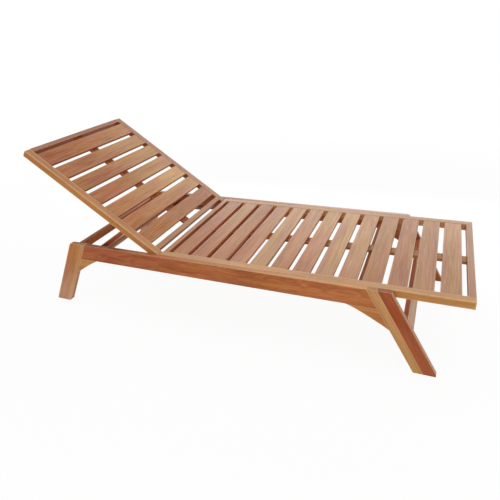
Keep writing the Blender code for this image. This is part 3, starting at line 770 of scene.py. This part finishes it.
def glued_board(node_name, slot, staves, inner_width, **habit):
    """A board with tones for its outer stave, and for its faces towards the foot end: a tone painted for
    how light falls there. Where an inner stave has tones too, it is glued on, this wide, on the side
    towards the middle of the lounger; on the rear legs that strip is a painted highlight along a rounded
    edge."""
    across = axes[node_name].col[1]
    inwards = across * math.copysign(1.0, -across.x * middles[node_name].x)
    mesh = whole_faces(node_name)
    inner_side = max(vertex.co.dot(inwards) for vertex in mesh.verts)
    joint = inwards * (inner_side - inner_width)
    mesh.normal_update()
    if "inner" in staves:
        press_joint(mesh, joint, inwards)
    order = list(staves)
    for face in mesh.faces:
        stave = "outer"
        # Faces towards the foot end take a tone painted for how light falls there
        if face.normal.x > FOOT_FACING_FOR_PAINTED_LIGHT:
            stave = "edge"
        elif "inner" in staves and (face.calc_center_median() - joint).dot(inwards) > 0:
            stave = "inner"
        face.material_index = order.index(stave)
    board = bpy.data.objects.new(node_name + "_staves", bpy.data.meshes.new(node_name + "_staves"))
    mesh.to_mesh(board.data)
    mesh.free()
    bpy.context.collection.objects.link(board)
    for stave, tones in staves.items():
        board.data.materials.append(teak(f"oiled_teak_{node_name}_{stave}", node_name, tones, **habit))
    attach(board, "base")
    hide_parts(node_name)
    print("glued up", node_name, "from", len(staves), "finishes")


print("a foot edge points at least", FOOT_FACING_FOR_PAINTED_LIGHT, "to the foot end")

# %% Glue up the stretcher and the legs
FRONT_STAVE = 0.032
# On the rear legs the inner strip is a painted highlight along the rounded edge
REAR_PAINTED_HIGHLIGHT_STRIP = 0.017
# Each edge tone here is painted light on the faces towards the foot end
STRETCHER_TONES_WITH_PAINTED_LIGHT = {"edge": ("bone",), "outer": ("coral",)}
REAR_LEG_TONES_WITH_PAINTED_LIGHT = {"edge": ("gold",), "outer": ("sand", "tan"), "inner": ("sand", "gold")}
FRONT_LEG_TONES_WITH_PAINTED_LIGHT = {
    "right": {"edge": ("sand",), "outer": ("auburn", "chestnut"), "inner": ("gold",)},
    "left": {"edge": ("straw",), "outer": ("brick", "tan"), "inner": ("gold",)},
}
# Painted pale veil on the upper faces of the front legs, at either end
FRONT_PAINTED_VEIL = {"right": (0.1, 0.1), "left": (0.1, 0.6)}

glued_board("front_stretcher", "teak_cross_pieces", STRETCHER_TONES_WITH_PAINTED_LIGHT, 0.0, **SMALL_PIECE_HABIT)
for side, staves in FRONT_LEG_TONES_WITH_PAINTED_LIGHT.items():
    glued_board("front_leg_" + side, "teak_legs", staves, FRONT_STAVE, silver=FRONT_PAINTED_VEIL[side], shine=0.1)
    glued_board("rear_leg_" + side, "teak_legs", REAR_LEG_TONES_WITH_PAINTED_LIGHT, REAR_PAINTED_HIGHLIGHT_STRIP, shine=0.15)

# %% [markdown]
# ## The folding prop
# Two arms and a round crossbar hold the backrest up: the bar drops into the notches of two racks. The prop
# could match the backrest that it holds, but a redder wood keeps it dark in the shade under the slats.

# %% Finish the prop
finish_boards({
    "prop_arm_right": (("chestnut",), {}),
    "prop_arm_left": (("chestnut",), {}),
    "prop_crossbar": (("sand", "chestnut"), HIDDEN_HABIT),
})

# %% [markdown]
# ## Stainless pins and washers
# The pivots are turned from stainless steel rod, which leaves fine rings round each pin. The rings could
# be cut as grooves, but they are far finer than a facet, so they live in the roughness and bump.

# %% Turn the steel
TURNING_SIZE = (0.01, 0.0004, 0.01)     # in metres: the tool moves on by 0.4 mm along the pin in each turn
STEEL_TINTS = ("#a9a7a2", "#c9c7c1")
STEEL_ROUGHNESS = (0.22, 0.42)
TURNING_DEPTH = 0.0001
TURNING_RELIEF = 0.15

# Turned stainless steel: a grey mirror, blurred by fine tool marks
steel = new_finish("turned_stainless_steel")
spot = add_node(steel.node_tree, "ShaderNodeTexCoord", {}).outputs["Object"]
on_rod = add_node(steel.node_tree, "ShaderNodeMapping", {
    "Vector": spot, "Scale": TURNING_SIZE}, vector_type="TEXTURE").outputs[0]
marks = add_node(steel.node_tree, "ShaderNodeTexNoise", {
    "Vector": on_rod, "Scale": 1.0, "Detail": 2.0}).outputs[0]
shade = add_node(steel.node_tree, "ShaderNodeMix", {
    FACTOR: marks, COLOUR_A: linear(STEEL_TINTS[0]), COLOUR_B: linear(STEEL_TINTS[1])},
    data_type="RGBA").outputs[COLOUR_OUT]
blur = add_node(steel.node_tree, "ShaderNodeMapRange", {
    "Value": marks, "To Min": STEEL_ROUGHNESS[0], "To Max": STEEL_ROUGHNESS[1]}).outputs[0]
bump = add_node(steel.node_tree, "ShaderNodeBump", {
    "Height": marks, "Strength": TURNING_RELIEF, "Distance": TURNING_DEPTH}).outputs[0]
turned = add_node(steel.node_tree, "ShaderNodeBsdfPrincipled", {
    "Base Color": shade, "Metallic": 1.0, "Roughness": blur, "Normal": bump}).outputs[0]
add_node(steel.node_tree, "ShaderNodeOutputMaterial", {"Surface": turned})
print("steel has a roughness of", STEEL_ROUGHNESS[0], "to", STEEL_ROUGHNESS[1])

# %% Finish the pins and washers
steel_pieces = [name for name in boards if name.startswith(("pivot_", "prop_pin_"))]
for name in steel_pieces:
    for holder in boards[name].material_slots:
        holder.material = steel
print("finished", len(steel_pieces), "steel pieces")
